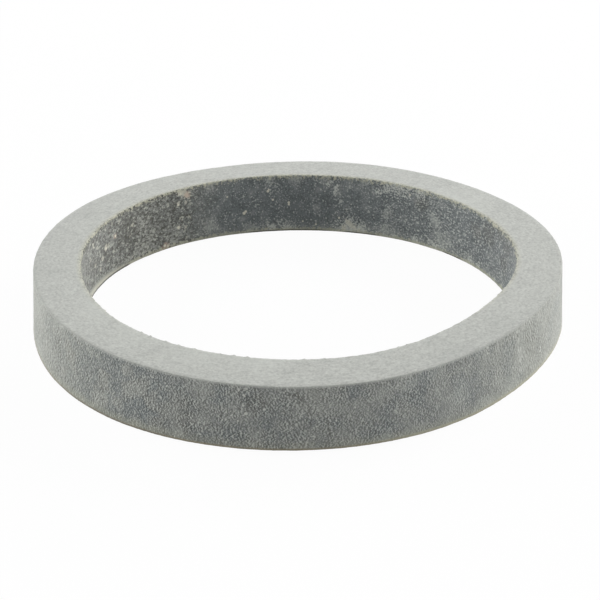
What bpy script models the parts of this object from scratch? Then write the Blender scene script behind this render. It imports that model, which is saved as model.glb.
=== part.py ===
"""Slip joint washer: a square-cut rubber ring that seals a waste tube inside a slip nut.

The ring is sliced from a long rubber sleeve, so its section is a plain rectangle with lightly
broken corners. The bore hugs the tube, the flat faces are squeezed between the slip nut and
the seat of the trap, and the outer wall fills the nut.

Metres, +Z up. The origin is the middle of the bore, on the face that the ring rests on.
"""

from math import tau

import bmesh
import bpy
from mathutils import Vector

MM = 0.001

# The size of the tube that the ring seals, 1 1/2 inches across outside, sets the bore.
BORE_DIAMETER = 38.1 * MM
# Thickness of the rubber from the bore to the outer wall.
WALL = 4.1 * MM
# Distance between the two knife-cut faces.
HEIGHT = 5.7 * MM
# The knife leaves the corners of the ground outer wall almost sharp, and those of the bore sharper.
OUTER_CORNER_RADIUS = 0.22 * MM
BORE_CORNER_RADIUS = 0.14 * MM

# Facets round the ring, and across each rounded corner.
RING_FACETS = 128
CORNER_FACETS = 3
# Neighbouring facets that turn by more than this meet in a crisp edge, the rest shade as one.
CRISP_ANGLE = tau / 10

# Dark rubber under a dusting of talc: pale, dull and not metallic.
RUBBER_COLOUR = (0.27, 0.28, 0.265, 1.0)
RUBBER_ROUGHNESS = 0.85


def clear_scene():
    for old in list(bpy.data.objects):
        bpy.data.objects.remove(old)


def rubber():
    material = bpy.data.materials.new("talc_dusted_rubber")
    material.use_nodes = True
    surface = material.node_tree.nodes["Principled BSDF"]
    surface.inputs["Base Color"].default_value = RUBBER_COLOUR
    surface.inputs["Roughness"].default_value = RUBBER_ROUGHNESS
    surface.inputs["Metallic"].default_value = 0.0
    material.diffuse_color = RUBBER_COLOUR
    return material


def section(mesh):
    """The sleeve's wall cut through at +X: a rectangle standing in the XZ plane, corners rounded."""
    bore_radius = BORE_DIAMETER / 2
    outer_radius = bore_radius + WALL
    bore_corners = [
        mesh.verts.new((bore_radius, 0, 0)),
        mesh.verts.new((bore_radius, 0, HEIGHT)),
    ]
    outer_corners = [
        mesh.verts.new((outer_radius, 0, HEIGHT)),
        mesh.verts.new((outer_radius, 0, 0)),
    ]
    mesh.faces.new(bore_corners + outer_corners)
    round_corners(mesh, outer_corners, OUTER_CORNER_RADIUS)
    round_corners(mesh, bore_corners, BORE_CORNER_RADIUS)


def round_corners(mesh, corners, radius):
    bmesh.ops.bevel(
        mesh,
        geom=corners,
        offset=radius,
        offset_type="OFFSET",
        affect="VERTICES",
        segments=CORNER_FACETS,
        profile=0.5,
        material=-1,
    )


def ring():
    """The section carried once round the bore's axis."""
    mesh = bmesh.new()
    section(mesh)
    cut = list(mesh.faces)
    bmesh.ops.spin(
        mesh,
        geom=cut + list(mesh.edges) + list(mesh.verts),
        axis=Vector((0, 0, 1)),
        cent=Vector((0, 0, 0)),
        angle=tau,
        steps=RING_FACETS,
        use_merge=True,
    )
    # The sweep makes faces of four sides. The section that it started from has more, and lies
    # inside the rubber.
    inside = [face for face in mesh.faces if len(face.verts) > 4]
    bmesh.ops.delete(mesh, geom=inside, context="FACES_ONLY")
    bmesh.ops.recalc_face_normals(mesh, faces=list(mesh.faces))
    data = bpy.data.meshes.new("washer")
    mesh.to_mesh(data)
    mesh.free()
    return data


def main():
    clear_scene()
    data = ring()
    data.materials.append(rubber())
    data.shade_smooth()
    data.set_sharp_from_angle(angle=CRISP_ANGLE)
    washer = bpy.data.objects.new("washer", data)
    bpy.context.scene.collection.objects.link(washer)


main()
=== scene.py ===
"""The looks of a slip joint washer: its dusty rubber, its cut, ground and moulded surfaces, and a stage.

Lengths are in metres unless a name says otherwise. Heights are above the face that the ring rests
on, and angles run anticlockwise from +X, seen from above, with the camera on the -Y side.
"""

from math import atan2, cos, exp, hypot, pi, radians, sin, tau

import bmesh
import bpy
from bpy.props import FloatProperty, FloatVectorProperty, IntProperty, PointerProperty
from bpy.types import Operator, Panel, PropertyGroup
from mathutils import Matrix, Vector, noise

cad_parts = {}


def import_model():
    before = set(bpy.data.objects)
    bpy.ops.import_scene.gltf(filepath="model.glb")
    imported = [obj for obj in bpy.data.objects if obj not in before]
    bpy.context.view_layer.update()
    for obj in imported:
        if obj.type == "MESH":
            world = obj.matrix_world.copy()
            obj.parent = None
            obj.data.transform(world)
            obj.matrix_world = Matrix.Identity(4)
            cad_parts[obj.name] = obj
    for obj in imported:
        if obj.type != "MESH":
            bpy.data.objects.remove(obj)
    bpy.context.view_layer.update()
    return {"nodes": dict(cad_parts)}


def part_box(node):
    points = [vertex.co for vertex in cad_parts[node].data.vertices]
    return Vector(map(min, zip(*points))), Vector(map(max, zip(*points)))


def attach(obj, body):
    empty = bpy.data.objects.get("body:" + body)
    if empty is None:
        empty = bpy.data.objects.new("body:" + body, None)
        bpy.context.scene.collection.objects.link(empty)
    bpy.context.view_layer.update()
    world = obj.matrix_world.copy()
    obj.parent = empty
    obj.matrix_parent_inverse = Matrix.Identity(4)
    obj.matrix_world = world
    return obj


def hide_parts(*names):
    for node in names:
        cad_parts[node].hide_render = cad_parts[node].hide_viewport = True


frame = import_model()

bl_info = {
    "name": "Slip joint washer",
    "version": (1, 0, 0),
    "blender": (4, 5, 0),
    "location": "View3D > Sidebar > Washer",
    "description": "Dresses a slip joint washer in dusty rubber and sets it on a studio floor",
    "category": "Object",
}

MM = 0.001
LOWEST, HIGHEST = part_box("washer")
HEIGHT = HIGHEST[2] - LOWEST[2]
OUTER_RADIUS = (HIGHEST[0] - LOWEST[0]) / 2
SOLID = frame["nodes"]["washer"]
BORE_RADIUS = min(hypot(vertex.co.x, vertex.co.y) for vertex in SOLID.data.vertices)

PIECE = "rubber_ring"

# The attribute that keeps each vertex's place on the true ring, in millimetres, for the patterns.
TRUE_PLACE = "true_place"

# The washer is a slice of a soft sleeve, so it isn't quite round, and its cuts aren't quite
# parallel. Each entry of these lists is one wave round the ring: how many crests it has, its
# height in millimetres, and the angle in degrees of one crest. The single crest of the bore sets
# it a little off centre. The waves of the foot leave gaps under the ring where it stands, and
# those of the flare spread its outer wall towards the foot. The numbers in these four lists were
# made by another program, which fitted them to the ring's outline in the photo.
OUTER_WAVES = ((1, 0.046, 173), (2, 0.052, 63), (3, 0.325, 26), (4, 0.092, -5), (5, 0.095, 3))
BORE_WAVES = (
    (1, 0.133, 88), (2, 0.059, 50), (3, 0.235, 21), (4, 0.068, 6), (5, 0.084, 0), (6, 0.046, -8),
)
FOOT_WAVES = ((1, 0.086, 180), (2, 0.053, 53), (3, 0.132, 33), (4, 0.040, 9))
FLARE_WAVES = ((0, 0.353, 0), (2, 0.203, 38))

# Crumbs of rubber that the knife left on the bore's upper edge: angle in degrees, and how far
# each stands out in millimetres.
CRUMBS = (
    (229.5, 0.10), (232.6, 0.12), (237.2, 0.09), (241.0, 0.10), (245.3, 0.08), (251.8, 0.07),
    (255.2, 0.10), (258.4, 0.09), (271.5, 0.08), (276.1, 0.07), (294.2, 0.07), (296.6, 0.06),
)
CRUMB_WIDTH_MM = 0.22

# How far the ring stays clear of the floor where it stands on it.
FLOOR_CLEARANCE = 0.002 * MM
# How far from its corner an edge is torn or nicked.
EDGE_REACH_MM = 0.22
# Noise that swells the walls, tears the bore's edges and nicks the outer ones. Each layer has its
# number of waves to a millimetre, and its strength.
SWELL = ((0.35, 1.0), (1.1, 0.6))
TEAR = ((1.9, 1.0), (4.3, 0.7))
NICKS = ((3.1, 0.5),)


def linear(code):
    """An sRGB hex colour such as #BEBFBA as the linear red, green and blue that a shader takes."""
    shares = [int(code[at:at + 2], 16) / 255 for at in (1, 3, 5)]
    return tuple(s / 12.92 if s <= 0.04045 else ((s + 0.055) / 1.055) ** 2.4 for s in shares)


class WasherSizes(PropertyGroup):
    """Sizes of the visible ring that the solid leaves open."""

    outer_corner: FloatProperty(
        name="Outer corner",
        description="Radius of the corners of the outer wall",
        default=0.12 * MM,
        min=0.01 * MM,
        precision=6,
        unit="LENGTH",
    )
    bore_corner: FloatProperty(
        name="Bore corner",
        description="Radius of the corners of the bore",
        default=0.12 * MM,
        min=0.01 * MM,
        precision=6,
        unit="LENGTH",
    )
    relief: FloatProperty(
        name="Relief",
        description="Height of the gentle unevenness of the walls",
        default=0.014 * MM,
        min=0,
        precision=6,
        unit="LENGTH",
    )
    ragged_lip: FloatProperty(
        name="Ragged lip",
        description="How far the torn edges of the bore wander",
        default=0.05 * MM,
        min=0,
        precision=6,
        unit="LENGTH",
    )
    extra_height: FloatProperty(
        name="Extra height",
        description="How much higher the middle of the upper face stands than in the solid",
        default=0.18 * MM,
        min=0,
        precision=6,
        unit="LENGTH",
    )
    wedge: FloatProperty(
        name="Wedge",
        description="How much the slice gains in height from its middle to the outer wall at +Y",
        default=0.24 * MM,
        min=0,
        precision=6,
        unit="LENGTH",
    )
    mean_gap: FloatProperty(
        name="Mean gap",
        description="Mean height of the uneven foot over the floor",
        default=0.14 * MM,
        min=0,
        precision=6,
        unit="LENGTH",
    )
    facets_round: IntProperty(
        name="Facets round",
        description="Facets round the ring",
        default=1152,
        min=64,
        max=1152,
    )


class WasherColours(PropertyGroup):
    """Colours of the rubber, of the dust on it and of what sticks to it."""

    cut_face: FloatVectorProperty(
        name="Cut face",
        description="Knife-cut rubber under an even dusting of talc",
        default=linear("#B8BAB4"),
        subtype="COLOR",
        min=0,
        max=1,
    )
    ground_wall: FloatVectorProperty(
        name="Ground wall",
        description="Ground outer wall, with talc in its grain",
        default=linear("#8B8E8B"),
        subtype="COLOR",
        min=0,
        max=1,
    )
    slate: FloatVectorProperty(
        name="Slate",
        description="Ground wall where the least talc lies, bluer than the rest",
        default=linear("#737A7C"),
        subtype="COLOR",
        min=0,
        max=1,
    )
    bore_wall: FloatVectorProperty(
        name="Bore wall",
        description="Moulded bore, where the least talc clings",
        default=linear("#757B7C"),
        subtype="COLOR",
        min=0,
        max=1,
    )
    # Talc is also laid paler towards -X and +X on the ground wall, as a painted sheen and side light.
    talc: FloatVectorProperty(
        name="Talc",
        description="Talc that lies thick on the rubber",
        default=linear("#CCCFC8"),
        subtype="COLOR",
        min=0,
        max=1,
    )
    # Bare rubber also serves as painted shade under the rim and along the foot of the ground wall.
    bare_rubber_and_shade: FloatVectorProperty(
        name="Bare rubber",
        description="Rubber with no talc on it",
        default=linear("#404547"),
        subtype="COLOR",
        min=0,
        max=1,
    )
    # Flash is also laid towards -X and +X on the ground wall, as a painted warm sheen.
    flash_and_sheen: FloatVectorProperty(
        name="Flash",
        description="Torn olive cream skin on the edges",
        default=linear("#BEBDA5"),
        subtype="COLOR",
        min=0,
        max=1,
    )
    crumb: FloatVectorProperty(
        name="Crumb",
        description="Crumbs of rubber and dust that cling to the moulded bore",
        default=linear("#B4B6AA"),
        subtype="COLOR",
        min=0,
        max=1,
    )
    cream: FloatVectorProperty(
        name="Cream",
        description="The few large crumbs, nearly white",
        default=linear("#DAD8C8"),
        subtype="COLOR",
        min=0,
        max=1,
    )
    # Grime is also the colour of a painted contact shadow along the foot of the bore.
    grime_and_shadow: FloatVectorProperty(
        name="Grime",
        description="Dark hollows between the crumbs in the bore",
        default=linear("#4C4B44"),
        subtype="COLOR",
        min=0,
        max=1,
    )
    stain: FloatVectorProperty(
        name="Stain",
        description="Pink brown marks in the bore",
        default=linear("#C8AC98"),
        subtype="COLOR",
        min=0,
        max=1,
    )
    # Soil is also the colour of a painted contact shadow along the foot of the ground wall.
    soil_and_contact_shadow: FloatVectorProperty(
        name="Soil",
        description="Olive soil along the foot of the walls",
        default=linear("#9A917A"),
        subtype="COLOR",
        min=0,
        max=1,
    )


class StudioSettings(PropertyGroup):
    """Camera and floor."""

    camera_elevation: FloatProperty(
        name="Camera elevation",
        description="Height of the camera over the middle of the upper face, as an angle",
        default=radians(24.01),
        unit="ROTATION",
    )
    camera_roll: FloatProperty(
        name="Camera roll",
        description="How far the camera leans over to one side",
        default=radians(-0.605),
        unit="ROTATION",
    )
    camera_distance: FloatProperty(
        name="Camera distance",
        description="From the middle of the ring's upper face to the camera",
        default=5.6 * OUTER_RADIUS,
        unit="LENGTH",
    )
    lens: FloatProperty(
        name="Lens",
        description="Focal length in millimetres for a sensor 36 mm wide",
        default=88.11,
        min=1,
    )
    floor_size: FloatProperty(
        name="Floor size",
        description="Side of the square floor",
        default=3.0,
        unit="LENGTH",
    )


def discard(name):
    """Clears the way for an object that is made anew."""
    if name in bpy.data.objects:
        bpy.data.objects.remove(bpy.data.objects[name])


def wave(waves, angle):
    """How far a list of waves moves the wall outwards at an angle, in metres."""
    return MM * sum(height * cos(crests * (angle - radians(at))) for crests, height, at in waves)


def layered(place, layers):
    """Noise of several layers at a place in millimetres."""
    return sum(strength * noise.noise(place * waves) for waves, strength in layers)


def near(value, middle, width):
    """1 at the middle, falling to 0 on both sides."""
    return exp(-(((value - middle) / width) ** 2))


# Bmesh: the section, its sweep and the unevenness of the rubber

# Facets along each side of the section, and across each corner.
WALL_FACETS = 20
BORE_FACETS = 24
UPPER_FACE_FACETS = 16
LOWER_FACE_FACETS = 12
CORNER_FACETS = 3
# The section is swept through this fraction of a turn, and the rest is copies of that.
SWEPT_FRACTION = 8
MERGE_DISTANCE = 0.001 * MM
# A face that looks up or down at least this much is part of a knife cut.
CUT_NORMAL_Z = 0.8
# The order of the ring's materials.
KNIFE_CUT, GROUND, MOULDED = range(3)


def section(mesh, sizes):
    """The outline of the sleeve's wall at +X, standing in the XZ plane, with rounded corners."""
    bore = [mesh.verts.new((BORE_RADIUS, 0, z)) for z in (0, HEIGHT)]
    outer = [mesh.verts.new((OUTER_RADIUS, 0, z)) for z in (HEIGHT, 0)]
    mesh.faces.new(bore + outer)
    for corners, radius in ((bore, sizes.bore_corner), (outer, sizes.outer_corner)):
        bmesh.ops.bevel(
            mesh,
            geom=corners,
            offset=radius,
            offset_type="OFFSET",
            affect="VERTICES",
            segments=CORNER_FACETS,
            profile=0.5,
            material=-1,
        )
    bmesh.ops.delete(mesh, geom=list(mesh.faces), context="FACES_ONLY")
    for facets, side in sides(mesh):
        bmesh.ops.subdivide_edges(mesh, edges=side, cuts=facets - 1)


def sides(mesh):
    """The four straight sides of the section, each with its number of facets."""
    straight = [edge for edge in mesh.edges if edge.calc_length() > HEIGHT / 2]
    found = []
    for edge in straight:
        middle = (edge.verts[0].co + edge.verts[1].co) / 2
        if abs(edge.verts[0].co.x - edge.verts[1].co.x) > HEIGHT / 2:
            facets = UPPER_FACE_FACETS if middle.z > HEIGHT / 2 else LOWER_FACE_FACETS
        else:
            facets = WALL_FACETS if middle.x > (BORE_RADIUS + OUTER_RADIUS) / 2 else BORE_FACETS
        found.append((facets, [edge]))
    return found


def sweep(mesh, sizes):
    """The outline carried part of a turn round the bore's axis, and doubled up to a full ring."""
    turn = tau / SWEPT_FRACTION
    bmesh.ops.spin(
        mesh,
        geom=list(mesh.edges) + list(mesh.verts),
        axis=(0, 0, 1),
        cent=(0, 0, 0),
        angle=turn,
        steps=sizes.facets_round // SWEPT_FRACTION,
    )
    while turn < tau:
        everything = list(mesh.verts) + list(mesh.edges) + list(mesh.faces)
        copied = bmesh.ops.duplicate(mesh, geom=everything)["geom"]
        bmesh.ops.rotate(
            mesh,
            verts=[part for part in copied if isinstance(part, bmesh.types.BMVert)],
            cent=(0, 0, 0),
            matrix=Matrix.Rotation(turn, 3, "Z"),
        )
        turn *= 2
    bmesh.ops.remove_doubles(mesh, verts=list(mesh.verts), dist=MERGE_DISTANCE)
    bmesh.ops.recalc_face_normals(mesh, faces=list(mesh.faces))
    mesh.normal_update()


def crumb_height(angle):
    """How far the crumbs stand out from the bore's upper edge at an angle, in metres."""
    along = [(radians(at) - angle + pi) % tau - pi for at, _ in CRUMBS]
    return MM * sum(
        height * near(gap * BORE_RADIUS / MM, 0, CRUMB_WIDTH_MM / 2)
        for gap, (_, height) in zip(along, CRUMBS)
    )


def roughen(mesh, sizes):
    """Moves each vertex as the soft, hand-cut rubber differs from its true section."""
    middle = (BORE_RADIUS + OUTER_RADIUS) / 2
    true_place = mesh.verts.layers.float_vector.new(TRUE_PLACE)
    for vertex in mesh.verts:
        x, y, z = vertex.co
        angle, radius = atan2(y, x) % tau, hypot(x, y)
        outwards = Vector((x, y, 0)) / radius
        share = (radius - BORE_RADIUS) / (OUTER_RADIUS - BORE_RADIUS)
        place = vertex.co / MM
        vertex[true_place] = place
        moved = vertex.normal * sizes.relief * layered(place, SWELL)
        moved += outwards * (share * wave(OUTER_WAVES, angle) + (1 - share) * wave(BORE_WAVES, angle))
        gap = max(0.0, sizes.mean_gap + wave(FOOT_WAVES, angle))
        up = z / HEIGHT
        moved.z += up * (sizes.extra_height + sizes.wedge * y / OUTER_RADIUS) + (1 - up) * gap
        moved += outwards * (1 - up) * share * wave(FLARE_WAVES, angle)
        to_edge = min(HEIGHT - z, z) / MM
        if radius < middle:
            torn = near((radius - BORE_RADIUS) / MM + to_edge, 0, EDGE_REACH_MM)
            # The knife tore the upper edge more than the foot, and left its crumbs there.
            torn_here = sizes.ragged_lip * torn * (0.25 + 0.9 * up)
            moved -= outwards * torn_here * layered(place, TEAR)
            if z > HEIGHT / 2:
                moved += (Vector((0, 0, 0.6)) - outwards * 0.6) * crumb_height(angle) * torn
        else:
            nicked = near((OUTER_RADIUS - radius) / MM + to_edge, 0, EDGE_REACH_MM)
            moved += outwards * sizes.ragged_lip * nicked * layered(place, NICKS)
        vertex.co += moved
        vertex.co.z = max(vertex.co.z, FLOOR_CLEARANCE)


def surfaces(mesh):
    """Gives each face the index of its surface: cut face, ground wall or bore."""
    middle = (BORE_RADIUS + OUTER_RADIUS) / 2
    for face in mesh.faces:
        centre = face.calc_center_median()
        if abs(face.normal.z) > CUT_NORMAL_Z:
            face.material_index = KNIFE_CUT
        elif hypot(centre.x, centre.y) > middle:
            face.material_index = GROUND
        else:
            face.material_index = MOULDED


# Materials

# The sockets of a colour Mix node that share their names with those of its other types.
MIX_A, MIX_B, MIX_RESULT = 6, 7, 2
# The nearness of a place that has no spot near it.
FAR_OFF = -9.0
# How strongly a difference to the noise a step away is brought out.
CRISPNESS = 0.3

# The marks and patches of the surfaces: angle in degrees, height and width in millimetres. Most
# marks were picked by eye in the photo, and another program turned their pixels into angle and
# height. Most patches were set by hand, after the differences in tone that a program printed.
# What sticks to the walls comes first.
CREAM_CRUMBS = (
    (126.7, 4.29, 0.34), (124.3, 4.21, 0.30), (126.0, 2.82, 0.32), (123.2, 2.67, 0.30),
    (127.0, 1.90, 0.42), (124.7, 1.72, 0.30), (124.7, 0.57, 0.18), (144.5, 3.82, 0.40),
    (157.9, 3.36, 0.62), (156.3, 3.25, 0.50), (160.1, 2.54, 0.45), (166.0, 4.68, 0.42),
    (169.0, 3.74, 0.40),
    (145.8, 2.91, 0.30), (144.8, 0.69, 0.34), (154.2, 0.91, 0.30), (153.7, 5.14, 0.30),
    (150.4, 4.91, 0.26), (163.5, 4.1, 0.30), (165.5, 2.6, 0.36), (162.2, 1.7, 0.34),
    (74.3, 1.15, 0.50), (73.5, 0.88, 0.60), (72.3, 0.62, 0.55), (71.3, 0.42, 0.45), (75.3, 0.5, 0.5),
)
CREAM_SPECKS = (
    (105.9, 2.12, 0.26), (105.4, 2.28, 0.22), (98.5, 4.18, 0.22), (98.2, 4.34, 0.16),
    (92.2, 2.95, 0.20), (92.2, 2.75, 0.18), (97.0, 3.28, 0.18), (76.9, 1.48, 0.18),
    (54.3, 4.91, 0.16), (111.0, 4.0, 0.14), (88.0, 1.0, 0.14), (84.0, 0.7, 0.16),
    (157.8, 3.2, 0.26), (126.9, 4.2, 0.22), (127.2, 1.9, 0.26), (152.3, 3.75, 0.20),
    (132.3, 0.45, 0.24), (131.2, 0.30, 0.20), (125.9, 5.25, 0.22),
)
# Where the very foot of the bore is painted dark, a painted contact shadow.
PAINTED_FOOT_SHADOW = (
    (170.0, 0.0, 6.0), (161.0, 0.0, 6.0), (153.0, 0.0, 5.0), (97.0, 0.0, 6.0), (88.0, 0.0, 6.0),
    (70.0, 0.0, 4.0), (38.0, 0.0, 3.0),
)
# Talc that dusts the bore, and hollows in it that have none.
BORE_DUST = (
    (97.1, 0.44, 0.9), (93.8, 0.54, 0.8), (73.9, 0.95, 1.6), (72.0, 0.5, 1.6), (79.8, 4.88, 0.7),
    (77.9, 4.00, 0.7), (76.4, 3.11, 0.6), (74.5, 2.44, 0.5),
    (46.8, 0.75, 0.8), (30.7, 0.42, 0.9), (26.8, 0.54, 0.7), (74.8, 0.2, 2.6), (70.2, 0.3, 2.2),
    (92.8, 0.0, 2.0), (97.6, 0.0, 2.0), (57.0, 5.5, 2.0), (61.5, 5.3, 1.7), (65.0, 4.6, 0.9),
    (52.0, 0.1, 1.4), (45.5, 0.1, 1.7), (78.0, 4.4, 0.8), (51.0, 5.5, 1.4),
)
BORE_HOLLOWS = ((42.1, 1.48, 0.30), (44.3, 0.83, 0.34))
# Broad pale patches of the bore and of the outer wall, and broad dark ones.
BORE_HAZE = (
    (73.5, 0.4, 2.6), (93.0, 0.3, 1.6), (42.5, 1.2, 3.2), (31.0, 0.2, 2.2), (57.5, 5.6, 2.6),
    (69.0, 5.4, 1.8), (81.0, 5.2, 1.6), (129.0, 0.8, 2.6), (141.0, 1.0, 2.6), (117.5, 1.2, 2.0),
    (104.0, 0.3, 1.6), (123.0, 5.5, 1.6), (137.0, 1.8, 2.4), (140.5, 3.4, 2.6),
    (74.8, 0.4, 1.2), (70.0, 0.6, 1.4), (93.5, 0.3, 1.0),
    (90.0, 5.3, 1.8), (98.0, 5.4, 2.0), (116.0, 5.3, 1.8), (45.0, 2.8, 2.0), (62.0, 0.8, 2.0),
    (61.5, 2.6, 1.6), (148.0, 0.6, 1.8),
)
BORE_SHADE = (
    (147.0, 3.6, 4.2), (159.0, 3.0, 2.6), (166.0, 2.6, 2.4), (22.0, 4.2, 3.4), (50.0, 4.3, 2.4),
    (10.0, 4.8, 3.2), (12.0, 2.8, 2.6), (27.5, 3.8, 2.4), (15.0, 5.3, 2.6), (128.0, 4.3, 1.6),
    (147.0, 3.4, 2.2),
)
WALL_HAZE = (
    (190.0, 3.2, 6.0), (200.0, 4.6, 4.0), (200.0, 1.0, 3.4), (213.0, 5.7, 3.0), (310.0, 0.3, 2.8),
    (318.5, 0.4, 3.0), (271.0, 0.2, 2.6), (291.0, 5.2, 2.6), (303.0, 2.4, 3.0), (310.0, 5.6, 2.2),
    (286.0, 0.2, 2.2), (225.0, 5.4, 1.6), (203.0, 5.0, 2.6), (297.0, 5.4, 2.2),
    (200.5, 4.3, 2.6), (320.0, 0.6, 2.2), (262.5, 0.5, 1.8),
)
WALL_SHADE = (
    (246.0, 2.2, 4.4), (238.0, 3.8, 3.4), (249.0, 3.2, 2.8), (272.0, 4.7, 2.8), (262.0, 4.1, 2.6),
    (328.0, 2.4, 3.6), (336.0, 3.9, 3.0), (338.0, 0.8, 3.0), (230.0, 3.2, 3.4), (244.0, 1.2, 3.0),
    (219.0, 4.0, 2.6), (332.0, 2.0, 3.4), (240.0, 2.8, 3.0), (237.0, 3.6, 2.6), (248.0, 1.6, 3.4),
    (272.5, 5.2, 2.6), (213.0, 3.5, 2.2), (326.0, 3.6, 3.0), (333.0, 1.6, 3.4), (340.0, 0.6, 2.4),
)
# The same for the cut face: pale ones beside the bore, and dark ones beside the outer wall.
FACE_HAZE = (
    (213.0, 5.7, 8.0), (229.0, 5.7, 8.0), (246.0, 5.7, 8.0), (261.0, 5.7, 7.0), (37.0, 5.7, 9.0),
)
FACE_SHADE = (
    (304.0, 5.7, 9.0), (318.0, 5.7, 9.0), (153.0, 5.7, 10.0), (170.0, 5.7, 10.0), (187.0, 5.7, 9.0),
)
# Pink brown marks in the bore, and the chip in its upper edge.
PINK_MARKS = ((152.5, 3.77, 0.48), (131.9, 0.37, 0.9), (123.7, 5.00, 0.75))
CHIP = ((126.2, 5.50, 0.7), (125.0, 5.35, 0.9), (123.9, 5.05, 0.9))
# Bright specks of talc on the outer wall, and a faint streak up it.
TALC_SPECKS = (
    (243.6, 3.44, 0.20), (244.9, 4.54, 0.15), (241.9, 4.99, 0.15), (260.5, 3.22, 0.28),
    (263.9, 3.70, 0.22), (260.0, 3.92, 0.20), (260.1, 4.84, 0.20), (260.7, 5.40, 0.16),
    (259.2, 5.30, 0.20), (259.0, 2.53, 0.17), (262.7, 1.64, 0.15), (256.7, 2.54, 0.17),
    (250.1, 1.66, 0.17), (251.7, 0.92, 0.17), (272.7, 1.30, 0.17), (273.3, 2.17, 0.15),
    (265.9, 4.69, 0.15), (276.9, 2.59, 0.15), (280.4, 3.60, 0.15), (310.4, 5.50, 0.17),
    (310.6, 4.96, 0.17), (331.7, 1.72, 0.25),
)
TALC_STREAK = (
    (320.9, 5.3, 0.6), (321.3, 4.4, 0.7), (322.0, 3.5, 0.7), (322.4, 2.6, 0.7), (322.9, 1.6, 0.7),
)
# Pits in the cut face beside the bore, in the same terms.
PITS = ((181.5, 5.7, 0.24), (176.0, 5.7, 0.20))
PIT_RADIUS = 19.35 * MM


def add(tree, kind, inputs=None, **settings):
    """Adds a node, gives it its settings, and fills its inputs with values or with links."""
    made = tree.nodes.new("ShaderNode" + kind)
    for name, value in settings.items():
        setattr(made, name, value)
    for socket, value in (inputs or {}).items():
        if isinstance(value, bpy.types.NodeSocket):
            tree.links.new(value, made.inputs[socket])
        elif made.inputs[socket].type == "RGBA":
            made.inputs[socket].default_value = (*tuple(value)[:3], 1.0)
        else:
            made.inputs[socket].default_value = value
    return made.outputs


def rubber_surface(name):
    """A material with nothing in it, and its node tree."""
    material = bpy.data.materials.get(name) or bpy.data.materials.new(name)
    material.use_nodes = True
    material.node_tree.nodes.clear()
    return material, material.node_tree


def place_on_ring(tree):
    """A point's place on the true ring, in millimetres: as a vector, and its X, Y and Z."""
    place = add(tree, "Attribute", attribute_name=TRUE_PLACE)["Vector"]
    return place, add(tree, "SeparateXYZ", {0: place})


def lay(tree, under, over, pattern, start, end, amount, where=1.0):
    """Lays a colour over another where a pattern has passed the end, and fades it in from the start.

    At most that amount of it lies there, less where the last pattern is under 1.
    """
    share = add(
        tree, "MapRange",
        {"Value": pattern, "From Min": start, "From Max": end, "To Min": 0.0, "To Max": amount},
        interpolation_type="SMOOTHSTEP",
    )[0]
    share = add(tree, "Math", {0: share, 1: where}, operation="MULTIPLY")[0]
    return add(tree, "Mix", {0: share, MIX_A: under, MIX_B: over}, data_type="RGBA")[MIX_RESULT]


def nearness(tree, place, wall_radius, spots):
    """1 in the middle of each spot of a wall, 0 on its edge and less further out."""
    nearest = FAR_OFF
    for angle, height, width in spots:
        turned = radians(angle)
        middle = Vector((cos(turned), sin(turned), 0)) * wall_radius / MM + Vector((0, 0, height))
        away = add(tree, "VectorMath", {0: place, 1: middle}, operation="DISTANCE")["Value"]
        near_this = add(tree, "Math", {0: away, 1: -2 / width, 2: 1.0}, operation="MULTIPLY_ADD")[0]
        nearest = add(tree, "Math", {0: near_this, 1: nearest}, operation="MAXIMUM")[0]
    return nearest


def crisp_noise(tree, place, steps, inputs):
    """Noise with its grain brought out.

    Where it is higher than it is a step away it goes up further, and where lower further down.
    """
    here = add(tree, "TexNoise", {"Vector": place, **inputs})["Fac"]
    crisp = here
    for step in steps:
        moved = add(tree, "VectorMath", {0: place, 1: step})[0]
        there = add(tree, "TexNoise", {"Vector": moved, **inputs})["Fac"]
        change = add(tree, "Math", {0: here, 1: there}, operation="SUBTRACT")[0]
        crisp = add(tree, "Math", {0: change, 1: CRISPNESS, 2: crisp}, operation="MULTIPLY_ADD")[0]
    return crisp


def warped(tree, place, scale, amount):
    """A place moved to and fro by noise, which tears the outline of what is laid there."""
    torn = add(tree, "TexNoise", {"Vector": place, "Scale": scale, "Detail": 2.0})["Color"]
    torn = add(tree, "VectorMath", {0: torn, 1: [0.5] * 3}, operation="SUBTRACT")[0]
    return add(
        tree, "VectorMath", {0: torn, 1: [amount] * 3, 2: place}, operation="MULTIPLY_ADD",
    )[0]


def dusty(tree, colour, relief, depth):
    """Dull rubber under talc: nothing shines, and the dust glows where the light grazes it."""
    bump = add(tree, "Bump", {"Height": relief, "Distance": depth, "Strength": 1.0})[0]
    surface = add(
        tree, "BsdfPrincipled",
        {
            "Base Color": colour,
            "Normal": bump,
            "Roughness": 0.9,
            "Specular IOR Level": 0.3,
            "Sheen Weight": 0.3,
            "Sheen Roughness": 0.5,
        },
    )[0]
    add(tree, "OutputMaterial", {"Surface": surface})


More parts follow.
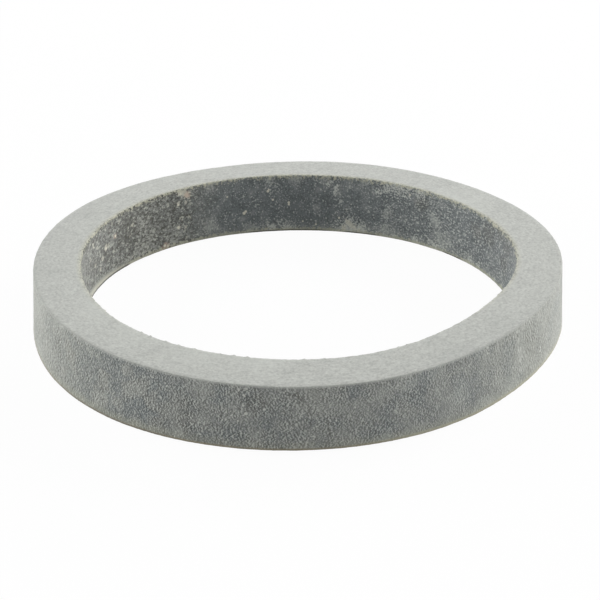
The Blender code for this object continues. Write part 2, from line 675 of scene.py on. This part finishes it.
def knife_cut_face(colours):
    """Natural rubber sliced by a wet knife.

    The eye gets a flat, dead matt, greenish grey face, evenly dusted. Its mottle is a fifth of a
    millimetre across. The knife's faint lines are as wide, three times as long, and follow the
    ring. At the back, the torn skin of the bore shows beside its edge.
    """
    material, tree = rubber_surface("knife_cut_rubber")
    place, parts = place_on_ring(tree)
    flat = add(tree, "VectorMath", {0: place, 1: (1, 1, 0)}, operation="MULTIPLY")[0]
    radius = add(tree, "VectorMath", {0: flat}, operation="LENGTH")["Value"]
    outwards = add(tree, "VectorMath", {0: flat}, operation="NORMALIZE")[0]
    inwards = add(tree, "CombineXYZ", {"Z": radius})[0]
    inwards = add(tree, "VectorMath", {0: inwards, 1: (0, 0, 4.5)}, operation="MULTIPLY")[0]
    along = add(
        tree, "VectorMath", {0: outwards, 1: (36, 36, 0), 2: inwards}, operation="MULTIPLY_ADD",
    )[0]
    mottle = add(
        tree, "TexNoise", {"Vector": place, "Scale": 5.2, "Detail": 1.0, "Roughness": 0.6},
    )["Fac"]
    lines = add(tree, "TexNoise", {"Vector": along, "Scale": 1.0, "Detail": 2.0})["Fac"]
    cloud = add(
        tree, "TexNoise", {"Vector": place, "Scale": 0.7, "Detail": 2.0, "Roughness": 0.6},
    )["Fac"]
    colour = lay(tree, colours.cut_face, colours.talc, mottle, 0.5, 0.72, 0.5)
    colour = lay(tree, colour, colours.bare_rubber_and_shade, mottle, 0.5, 0.25, 0.22)
    colour = lay(tree, colour, colours.talc, lines, 0.5, 0.72, 0.3)
    colour = lay(tree, colour, colours.bare_rubber_and_shade, lines, 0.5, 0.25, 0.12)
    colour = lay(tree, colour, colours.bare_rubber_and_shade, cloud, 0.55, 0.25, 0.1)
    haze = nearness(tree, place, BORE_RADIUS, FACE_HAZE)
    shade = nearness(tree, place, OUTER_RADIUS, FACE_SHADE)
    colour = lay(tree, colour, colours.talc, haze, 0.0, 0.9, 0.35)
    colour = lay(tree, colour, colours.ground_wall, shade, 0.0, 0.9, 0.13)
    behind = add(
        tree, "MapRange", {"Value": parts["Y"], "From Min": -17.0, "From Max": 0.0},
        interpolation_type="SMOOTHSTEP",
    )[0]
    bore = BORE_RADIUS / MM
    ragged = add(tree, "Math", {0: mottle, 1: 0.5, 2: radius}, operation="MULTIPLY_ADD")[0]
    lip = add(
        tree, "MapRange",
        {"Value": ragged, "From Min": bore + 0.55, "From Max": bore + 0.3},
        interpolation_type="SMOOTHSTEP",
    )[0]
    lip = add(tree, "Math", {0: lip, 1: behind}, operation="MULTIPLY")[0]
    colour = lay(tree, colour, colours.flash_and_sheen, radius, bore + 0.6, bore, 0.52, behind)
    colour = lay(tree, colour, colours.cream, mottle, 0.52, 0.60, 0.65, lip)
    colour = lay(tree, colour, colours.grime_and_shadow, mottle, 0.48, 0.40, 0.45, lip)
    pits = nearness(tree, place, PIT_RADIUS, PITS)
    colour = lay(tree, colour, colours.bare_rubber_and_shade, pits, -0.2, 0.6, 0.5)
    dusty(tree, colour, mottle, 0.012 * MM)
    return material


def ground_wall(colours):
    """Outside of the sleeve, ground to size on a stone.

    The eye gets dark blue grey rubber under a leathery grain of short, curling, upright strokes of
    talc. They are drawn a tenth of a millimetre wide, because finer ones would be lost between the
    pixels of the picture, and grow longer and coarser towards -X and +X. There the wall is also
    painted paler and warmer, a painted sheen and side light. Talc lies in soft clouds and in a
    few bright specks. The rim is clean and pale, with a painted shade under it at the left, and
    the foot has an olive line that is partly soil and partly painted contact shadow.
    """
    material, tree = rubber_surface("ground_rubber")
    place, parts = place_on_ring(tree)
    across, height = parts["X"], parts["Z"]
    squeezed = add(tree, "VectorMath", {0: place, 1: (1, 1, 0.6)}, operation="MULTIPLY")[0]
    drawn_up = add(tree, "VectorMath", {0: place, 1: (1, 1, 0.45)}, operation="MULTIPLY")[0]
    outwards = add(tree, "VectorMath", {0: place, 1: (1, 1, 0)}, operation="MULTIPLY")[0]
    outwards = add(tree, "VectorMath", {0: outwards}, operation="NORMALIZE")[0]
    sideways = add(tree, "Math", {0: across}, operation="ABSOLUTE")[0]
    ends = add(
        tree, "MapRange", {"Value": sideways, "From Min": 12.0, "From Max": 19.0, "To Max": 0.55},
    )[0]
    grains = []
    for upright, step, scale in ((squeezed, 0.13, 10.0), (drawn_up, 0.17, 8.0)):
        both_sides = [
            add(tree, "VectorMath", {0: outwards, 1: (0, 0, side)}, operation="CROSS_PRODUCT")[0]
            for side in (-step, step)
        ]
        settings = {"Scale": scale, "Detail": 1.0, "Roughness": 0.6}
        grains.append(crisp_noise(tree, upright, both_sides, settings))
    fine, coarse = grains
    coarser = add(tree, "Math", {0: coarse, 1: fine}, operation="SUBTRACT")[0]
    fibre = add(tree, "Math", {0: coarser, 1: ends, 2: fine}, operation="MULTIPLY_ADD")[0]
    curl = add(
        tree, "TexNoise",
        {"Vector": squeezed, "Scale": 3.8, "Detail": 0.0, "Distortion": 0.9},
    )["Fac"]
    cloud = add(
        tree, "TexNoise", {"Vector": place, "Scale": 0.4, "Detail": 3.0, "Roughness": 0.6},
    )["Fac"]
    off_line = add(tree, "Math", {0: curl, 1: 0.5}, operation="SUBTRACT")[0]
    off_line = add(tree, "Math", {0: off_line}, operation="ABSOLUTE")[0]
    patches = warped(tree, place, 0.9, 1.5)
    haze = nearness(tree, patches, OUTER_RADIUS, WALL_HAZE)
    shade = nearness(tree, patches, OUTER_RADIUS, WALL_SHADE)
    uneven = add(
        tree, "TexNoise", {"Vector": place, "Scale": 0.9, "Detail": 1.5, "Distortion": 0.5},
    )["Fac"]
    # How much the strokes stand out: in patches, more at both ends, and less towards +X.
    strength = add(
        tree, "MapRange",
        {"Value": uneven, "From Min": 0.35, "From Max": 0.65, "To Min": 0.65, "To Max": 1.05},
    )[0]
    right = add(
        tree, "MapRange", {"Value": across, "From Min": -4.0, "From Max": 10.0, "To Max": 0.2},
    )[0]
    strength = add(tree, "Math", {0: ends, 1: 0.7, 2: strength}, operation="MULTIPLY_ADD")[0]
    strength = add(tree, "Math", {0: strength, 1: right}, operation="SUBTRACT")[0]
    # 1 on the part of the wall to the left of its middle that is mottled with slate.
    left = add(tree, "Math", {0: across, 1: -14.5}, operation="SUBTRACT")[0]
    left = add(tree, "Math", {0: left}, operation="ABSOLUTE")[0]
    left = add(
        tree, "MapRange", {"Value": left, "From Min": 6.0, "From Max": 3.0},
        interpolation_type="SMOOTHSTEP",
    )[0]
    colour = lay(tree, colours.ground_wall, colours.slate, cloud, 0.56, 0.36, 0.75)
    colour = lay(tree, colour, colours.talc, haze, -0.1, 0.8, 0.3)
    colour = lay(tree, colour, colours.grime_and_shadow, shade, -0.1, 0.8, 0.33)
    colour = lay(tree, colour, colours.slate, uneven, 0.58, 0.40, 0.85, left)
    colour = lay(tree, colour, colours.talc, uneven, 0.54, 0.70, 0.15, left)
    # Towards -X and +X the wall is painted paler and warmer, a painted sheen and side light.
    colour = lay(tree, colour, colours.talc, sideways, 14.0, 22.0, 0.14)
    colour = lay(tree, colour, colours.talc, across, -19.5, -22.5, 0.25)
    colour = lay(tree, colour, colours.flash_and_sheen, sideways, 11.0, 20.0, 0.16)
    colour = lay(tree, colour, colours.grime_and_shadow, fibre, 0.5, 0.25, 0.65, strength)
    colour = lay(tree, colour, colours.talc, off_line, 0.06, 0.0, 0.3)
    colour = lay(tree, colour, colours.talc, fibre, 0.5, 0.75, 0.85, strength)
    colour = lay(tree, colour, colours.talc, cloud, 0.5, 0.75, 0.25)
    streak = nearness(tree, warped(tree, place, 2.5, 0.8), OUTER_RADIUS, TALC_STREAK)
    colour = lay(tree, colour, colours.talc, streak, -0.3, 0.9, 0.5)
    specks = nearness(tree, place, OUTER_RADIUS, TALC_SPECKS)
    colour = lay(tree, colour, colours.talc, specks, -0.4, 0.4, 0.9)
    top = HEIGHT / MM
    # A thin band of painted shade under the rim, at the left, in the bare rubber colour.
    painted_rim_shade = add(tree, "Math", {0: height, 1: top - 0.38}, operation="SUBTRACT")[0]
    painted_rim_shade = add(tree, "Math", {0: painted_rim_shade}, operation="ABSOLUTE")[0]
    colour = lay(tree, colour, colours.bare_rubber_and_shade, painted_rim_shade, 0.10, 0.04, 0.12, left)
    colour = lay(tree, colour, colours.cut_face, height, top - 0.18, top - 0.08, 0.6)
    colour = lay(tree, colour, colours.flash_and_sheen, height, 1.1, 0.4, 0.14)
    colour = lay(tree, colour, colours.flash_and_sheen, height, 0.9, 0.4, 0.15, left)
    # Along the foot, an olive line that is partly soil and partly painted contact shadow, with more
    # painted shadow at the left.
    colour = lay(tree, colour, colours.soil_and_contact_shadow, height, 0.32, 0.14, 0.85)
    colour = lay(tree, colour, colours.bare_rubber_and_shade, height, 0.26, 0.16, 0.3, left)
    # The foot is cleaner towards +X.
    sill = add(tree, "MapRange", {"Value": across, "From Min": 2.0, "From Max": 9.0})[0]
    colour = lay(tree, colour, colours.flash_and_sheen, height, 0.42, 0.22, 0.6, sill)
    dusty(tree, colour, fibre, 0.02 * MM)
    return material


def moulded_bore(colours):
    """Inside of the sleeve, as it left its mandrel.

    The eye gets dark slate rubber: nearly clean in the middle, coarse and crumbly with cream
    grains towards -X, and peppered with fine talc towards +X. The crumbs are a quarter of a
    millimetre across, and the pepper is drawn a sixth, as coarse as it needs to show. The foot
    and the torn upper edge are paler.
    """
    material, tree = rubber_surface("moulded_rubber")
    place, parts = place_on_ring(tree)
    across, height = parts["X"], parts["Z"]
    drawn_out = add(tree, "VectorMath", {0: place, 1: (1, 0.5, 1)}, operation="MULTIPLY")[0]
    grit = add(
        tree, "TexNoise",
        {"Vector": drawn_out, "Scale": 4.2, "Detail": 2.0, "Roughness": 0.5, "Distortion": 0.7},
    )["Fac"]
    pepper = add(
        tree, "TexNoise", {"Vector": drawn_out, "Scale": 6.4, "Detail": 1.0, "Roughness": 0.5},
    )["Fac"]
    cloud = add(
        tree, "TexNoise", {"Vector": place, "Scale": 0.8, "Detail": 3.0, "Roughness": 0.65},
    )["Fac"]
    wander = add(tree, "Math", {0: cloud, 1: 4.0, 2: across}, operation="MULTIPLY_ADD")[0]
    crumbly = add(
        tree, "MapRange", {"Value": wander, "From Min": -5.5, "From Max": -9.5},
        interpolation_type="SMOOTHSTEP",
    )[0]
    peppered = add(
        tree, "MapRange", {"Value": wander, "From Min": 8.0, "From Max": 14.0},
        interpolation_type="SMOOTHSTEP",
    )[0]
    colour = lay(tree, colours.bore_wall, colours.bare_rubber_and_shade, pepper, 0.5, 0.3, 0.45)
    colour = lay(tree, colour, colours.bare_rubber_and_shade, cloud, 0.5, 0.3, 0.3)
    colour = lay(tree, colour, colours.talc, cloud, 0.5, 0.75, 0.25)
    colour = lay(tree, colour, colours.talc, pepper, 0.58, 0.74, 0.8)
    patches = warped(tree, place, 0.9, 1.4)
    haze = nearness(tree, patches, BORE_RADIUS, BORE_HAZE)
    shade = nearness(tree, patches, BORE_RADIUS, BORE_SHADE)
    grainy = add(tree, "Math", {0: pepper, 1: 2.0, 2: haze}, operation="MULTIPLY_ADD")[0]
    colour = lay(tree, colour, colours.talc, grainy, 0.8, 2.0, 0.4)
    colour = lay(tree, colour, colours.talc, height, 1.3, 0.3, 0.12)
    colour = lay(tree, colour, colours.soil_and_contact_shadow, across, -5.0, -15.0, 0.2)
    colour = lay(tree, colour, colours.grime_and_shadow, shade, -0.1, 0.8, 0.45)
    colour = lay(tree, colour, colours.grime_and_shadow, grit, 0.54, 0.35, 0.85, crumbly)
    colour = lay(tree, colour, colours.crumb, grit, 0.55, 0.72, 1.0, crumbly)
    colour = lay(tree, colour, colours.bare_rubber_and_shade, across, 15.0, 19.0, 0.15)
    colour = lay(tree, colour, colours.talc, pepper, 0.48, 0.66, 0.35, peppered)
    torn = warped(tree, place, 3.5, 0.8)
    dust = nearness(tree, torn, BORE_RADIUS, BORE_DUST)
    dust = add(tree, "Math", {0: pepper, 1: 4.0, 2: dust}, operation="MULTIPLY_ADD")[0]
    colour = lay(tree, colour, colours.talc, dust, 1.8, 3.1, 0.8)
    chip = nearness(tree, torn, BORE_RADIUS, CHIP)
    chip = add(tree, "Math", {0: grit, 1: 3.0, 2: chip}, operation="MULTIPLY_ADD")[0]
    colour = lay(tree, colour, colours.cream, chip, 1.2, 2.0, 0.75)
    cream = nearness(tree, torn, BORE_RADIUS, CREAM_CRUMBS)
    colour = lay(tree, colour, colours.cream, cream, -0.4, 0.4, 0.55)
    marks = nearness(tree, torn, BORE_RADIUS, PINK_MARKS)
    colour = lay(tree, colour, colours.stain, marks, -0.3, 0.6, 0.5)
    specks = nearness(tree, place, BORE_RADIUS, CREAM_SPECKS)
    colour = lay(tree, colour, colours.cream, specks, -0.6, 0.2, 0.95)
    hollows = nearness(tree, torn, BORE_RADIUS, BORE_HOLLOWS)
    colour = lay(tree, colour, colours.bare_rubber_and_shade, hollows, -0.3, 0.5, 0.6)
    # The skin along the torn upper edge, and then along the foot.
    ragged = add(tree, "Math", {0: grit, 1: 2.0, 2: height}, operation="MULTIPLY_ADD")[0]
    top = HEIGHT / MM
    colour = lay(tree, colour, colours.flash_and_sheen, ragged, top + 0.72, top + 1.08, 0.78)
    colour = lay(tree, colour, colours.cream, ragged, top + 1.05, top + 1.2, 0.4)
    ragged = add(tree, "Math", {0: grit, 1: -1.0, 2: height}, operation="MULTIPLY_ADD")[0]
    colour = lay(tree, colour, colours.flash_and_sheen, ragged, -0.08, -0.28, 0.6)
    far_left = add(
        tree, "MapRange", {"Value": across, "From Min": -13.5, "From Max": -15.5},
        interpolation_type="SMOOTHSTEP",
    )[0]
    # At the far left that skin widens to a pale wedge over the sole.
    wedge = add(tree, "Math", {0: across, 1: 0.2, 2: height}, operation="MULTIPLY_ADD")[0]
    wedge = add(tree, "Math", {0: grit, 1: 0.7, 2: wedge}, operation="MULTIPLY_ADD")[0]
    colour = lay(tree, colour, colours.cream, wedge, -2.35, -2.95, 0.7, far_left)
    above_sole = add(tree, "Math", {0: far_left, 1: -0.08, 2: height}, operation="MULTIPLY_ADD")[0]
    sole = add(
        tree, "MapRange", {"Value": above_sole, "From Min": 0.2, "From Max": 0.1},
        interpolation_type="SMOOTHSTEP",
    )[0]
    # A painted contact shadow along the very foot of the bore, in the grime colour.
    painted_foot_shadow = nearness(tree, place, BORE_RADIUS, PAINTED_FOOT_SHADOW)
    colour = lay(tree, colour, colours.grime_and_shadow, painted_foot_shadow, 0.0, 0.3, 0.9, sole)
    dusty(tree, colour, grit, 0.03 * MM)
    return material


class WASHER_OT_ring(Operator):
    """Build the rubber ring and dress its surfaces"""

    bl_idname = "washer.ring"
    bl_label = "Rubber ring"

    def execute(self, context):
        sizes, colours = context.scene.washer_sizes, context.scene.washer_colours
        discard(PIECE)
        mesh = bmesh.new()
        section(mesh, sizes)
        sweep(mesh, sizes)
        surfaces(mesh)
        roughen(mesh, sizes)
        data = bpy.data.meshes.new(PIECE)
        mesh.to_mesh(data)
        mesh.free()
        data.shade_smooth()
        for material in (knife_cut_face(colours), ground_wall(colours), moulded_bore(colours)):
            data.materials.append(material)
        ring = bpy.data.objects.new(PIECE, data)
        context.scene.collection.objects.link(ring)
        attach(ring, "root")
        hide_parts("washer")
        return {"FINISHED"}


# Stage

# Softboxes: name, place, width and height, all in metres, and power in watts. The powers were made
# by another program, which fitted them to the tones of the ring in the photo.
SOFTBOXES = (
    ("overhead", (0.0, 0.05, 0.5), (0.5, 0.5), 0.544),
    ("left", (-0.5, 0.0, 0.18), (0.35, 0.3), 1.451),
    ("right", (0.5, 0.0, 0.18), (0.35, 0.3), 1.263),
    ("rear_left", (-0.4, 0.35, 0.2), (0.3, 0.3), 1.158),
    ("rear_right", (0.4, 0.35, 0.2), (0.3, 0.3), 2.349),
    ("front", (0.0, -0.5, 0.3), (0.6, 0.3), 0.77),
)

# Where the middle of the ring's upper face lies in the picture, in pixels right of and above the
# middle of a frame 600 pixels wide. This and the camera's elevation, roll and lens come from the
# same fit as the waves.
AIM = (-3.4, 45.4)
FRAME_PIXELS = 600
SENSOR_MM = 36.0


def floor_material():
    """White card: it lights the ring as card does, and the camera sees it white with a soft shadow."""
    material = bpy.data.materials.get("white_card") or bpy.data.materials.new("white_card")
    material.use_nodes = True
    tree = material.node_tree
    tree.nodes.clear()
    seen = add(tree, "LightPath")["Is Camera Ray"]
    card = add(tree, "BsdfDiffuse", {"Color": (0.8, 0.8, 0.8)})[0]
    white = add(tree, "BsdfDiffuse", {"Color": (1.0, 1.0, 1.0)})[0]
    glow = add(tree, "Emission", {"Color": (1.0, 1.0, 1.0), "Strength": 1.0})[0]
    backdrop = add(tree, "MixShader", {0: 0.96, 1: white, 2: glow})[0]
    surface = add(tree, "MixShader", {0: seen, 1: card, 2: backdrop})[0]
    add(tree, "OutputMaterial", {"Surface": surface})
    return material


def floor(context, settings):
    discard("floor")
    mesh = bmesh.new()
    bmesh.ops.create_grid(mesh, x_segments=1, y_segments=1, size=settings.floor_size / 2)
    data = bpy.data.meshes.new("floor")
    mesh.to_mesh(data)
    mesh.free()
    data.materials.append(floor_material())
    card = bpy.data.objects.new("floor", data)
    context.scene.collection.objects.link(card)


def softboxes(context):
    for name, place, (width, height), power in SOFTBOXES:
        discard(name)
        lamp = bpy.data.lights.new(name, "AREA")
        lamp.shape = "RECTANGLE"
        lamp.size, lamp.size_y = width, height
        lamp.energy = power
        holder = bpy.data.objects.new(name, lamp)
        holder.location = place
        away = Vector(place) - Vector((0, 0, HEIGHT / 2))
        holder.rotation_euler = away.to_track_quat("Z", "Y").to_euler()
        holder.visible_camera = False
        context.scene.collection.objects.link(holder)


def world(context):
    """A world that gives no light, and that the camera sees white."""
    made = bpy.data.worlds.get("studio") or bpy.data.worlds.new("studio")
    made.use_nodes = True
    tree = made.node_tree
    tree.nodes.clear()
    path = add(tree, "LightPath")
    seen = add(
        tree, "Math", {0: path["Is Camera Ray"], 1: path["Is Glossy Ray"]}, operation="MAXIMUM",
    )[0]
    seen = add(tree, "Math", {0: seen, 1: path["Is Transmission Ray"]}, operation="MAXIMUM")[0]
    surface = add(tree, "Background", {"Color": (1.0, 1.0, 1.0), "Strength": seen})[0]
    add(tree, "OutputWorld", {"Surface": surface})
    context.scene.world = made


def camera(context, settings):
    """Stands the camera off and turns it so that the ring falls where AIM says."""
    discard("camera")
    data = bpy.data.cameras.new("camera")
    data.lens, data.sensor_width = settings.lens, SENSOR_MM
    data.clip_start, data.clip_end = 0.005, 10.0
    tilt = settings.camera_elevation
    forward = Vector((0, cos(tilt), -sin(tilt)))
    upright = Matrix.Rotation(settings.camera_roll, 3, -forward)
    right = upright @ Vector((1, 0, 0))
    above = right.cross(forward)
    pixels = settings.lens / SENSOR_MM * FRAME_PIXELS
    upper_face = HEIGHT + context.scene.washer_sizes.extra_height
    ahead = (forward - right * AIM[0] / pixels - above * AIM[1] / pixels).normalized()
    right = (right - ahead * right.dot(ahead)).normalized()
    above = right.cross(ahead)
    turn = Matrix((right, above, -ahead)).transposed()
    holder = bpy.data.objects.new("camera", data)
    holder.matrix_world = Matrix.Translation(
        Vector((0, 0, upper_face)) - forward * settings.camera_distance
    ) @ turn.to_4x4()
    context.scene.collection.objects.link(holder)
    context.scene.camera = holder


class WASHER_OT_stage(Operator):
    """Set up the floor, the softboxes, the white surroundings and the camera"""

    bl_idname = "washer.stage"
    bl_label = "Stage"

    def execute(self, context):
        settings = context.scene.washer_studio
        floor(context, settings)
        softboxes(context)
        world(context)
        camera(context, settings)
        context.scene.view_settings.view_transform = "Standard"
        return {"FINISHED"}


class VIEW3D_PT_washer(Panel):
    """Sizes, colours and buttons for the washer"""

    bl_label = "Washer"
    bl_space_type = "VIEW_3D"
    bl_region_type = "UI"
    bl_category = "Washer"

    def draw(self, context):
        layout = self.layout
        for group in (
            context.scene.washer_sizes,
            context.scene.washer_colours,
            context.scene.washer_studio,
        ):
            column = layout.column(align=True)
            for name in group.__annotations__:
                column.prop(group, name)
        layout.operator(WASHER_OT_ring.bl_idname)
        layout.operator(WASHER_OT_stage.bl_idname)


CLASSES = (
    WasherSizes,
    WasherColours,
    StudioSettings,
    WASHER_OT_ring,
    WASHER_OT_stage,
    VIEW3D_PT_washer,
)


def register():
    for cls in CLASSES:
        bpy.utils.register_class(cls)
    bpy.types.Scene.washer_sizes = PointerProperty(type=WasherSizes)
    bpy.types.Scene.washer_colours = PointerProperty(type=WasherColours)
    bpy.types.Scene.washer_studio = PointerProperty(type=StudioSettings)


def unregister():
    del bpy.types.Scene.washer_studio
    del bpy.types.Scene.washer_colours
    del bpy.types.Scene.washer_sizes
    for cls in reversed(CLASSES):
        bpy.utils.unregister_class(cls)


def main():
    register()
    bpy.ops.washer.ring()
    bpy.ops.washer.stage()


if __name__ == "__main__":
    main()
